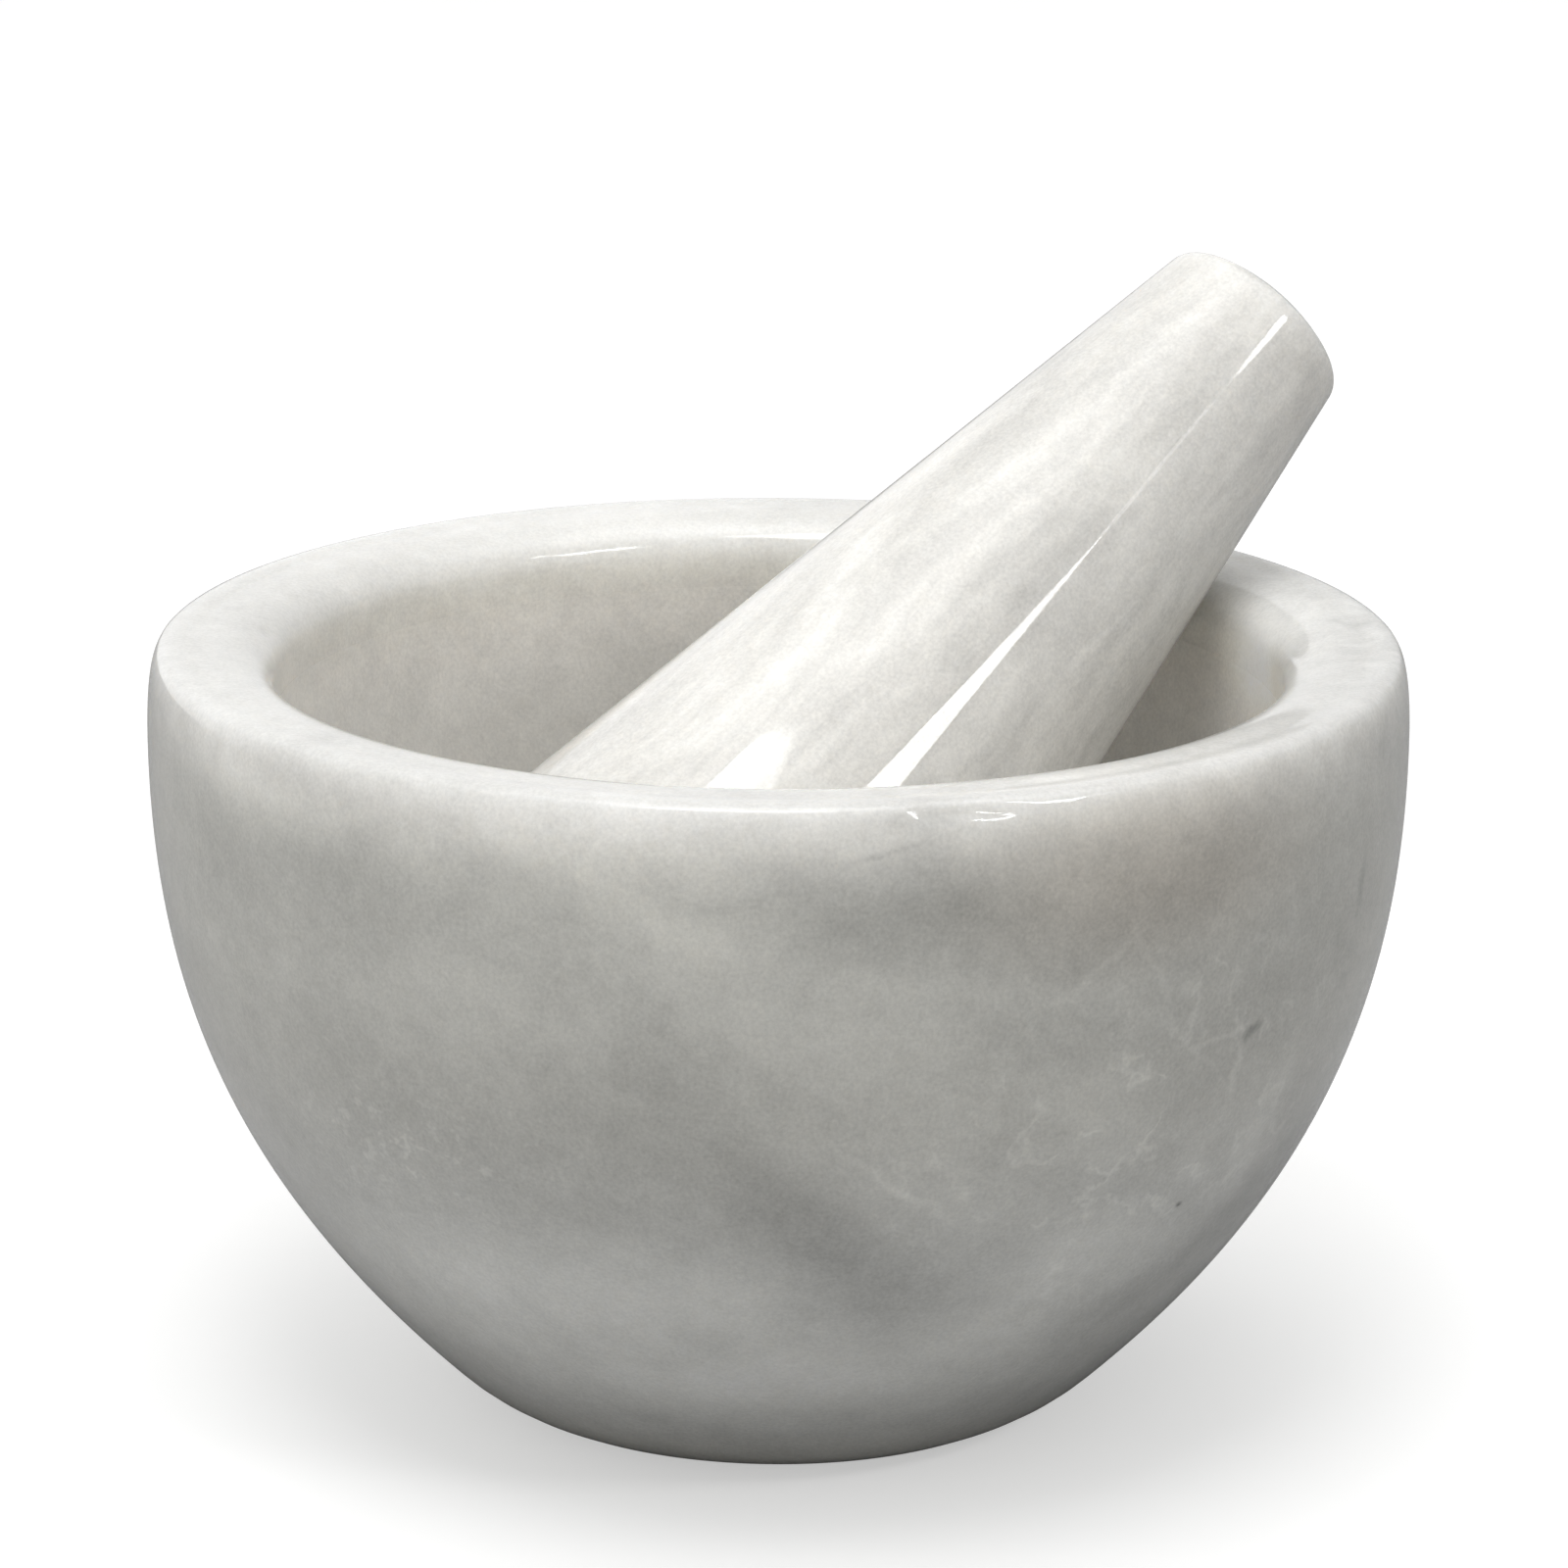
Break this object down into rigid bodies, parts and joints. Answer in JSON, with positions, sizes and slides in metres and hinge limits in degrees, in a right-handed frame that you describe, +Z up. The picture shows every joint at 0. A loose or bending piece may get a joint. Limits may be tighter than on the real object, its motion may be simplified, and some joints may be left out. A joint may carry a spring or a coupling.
{
  "type": "mortar and pestle",
  "caption": "Deep round stone mortar on a small flat foot, with a thick rounded lip, and a tapered round-headed pestle leaning in it, for grinding and crushing by hand.",
  "frame": {"origin": "centre of the mortar's flat foot, on the mortar's axis", "axes": "+Z up along the mortar's axis; the pestle leans over the lip towards +X and +Y, 35.3 degrees from +X"},
  "size_m": [0.1, 0.1, 0.0882],
  "materials": {
    "mortar_marble": "satin",
    "pestle_marble": "gloss"
  },
  "bodies": {
    "mortar": {"mortar": "mortar_marble"},
    "pestle": {"pestle": "pestle_marble"}
  },
  "joints": [
    {"name": "pestle_lift", "type": "slide", "parent": "mortar", "child": "pestle", "axis": [0, 0, 1], "range_m": [0, 0.055]}
  ]
}
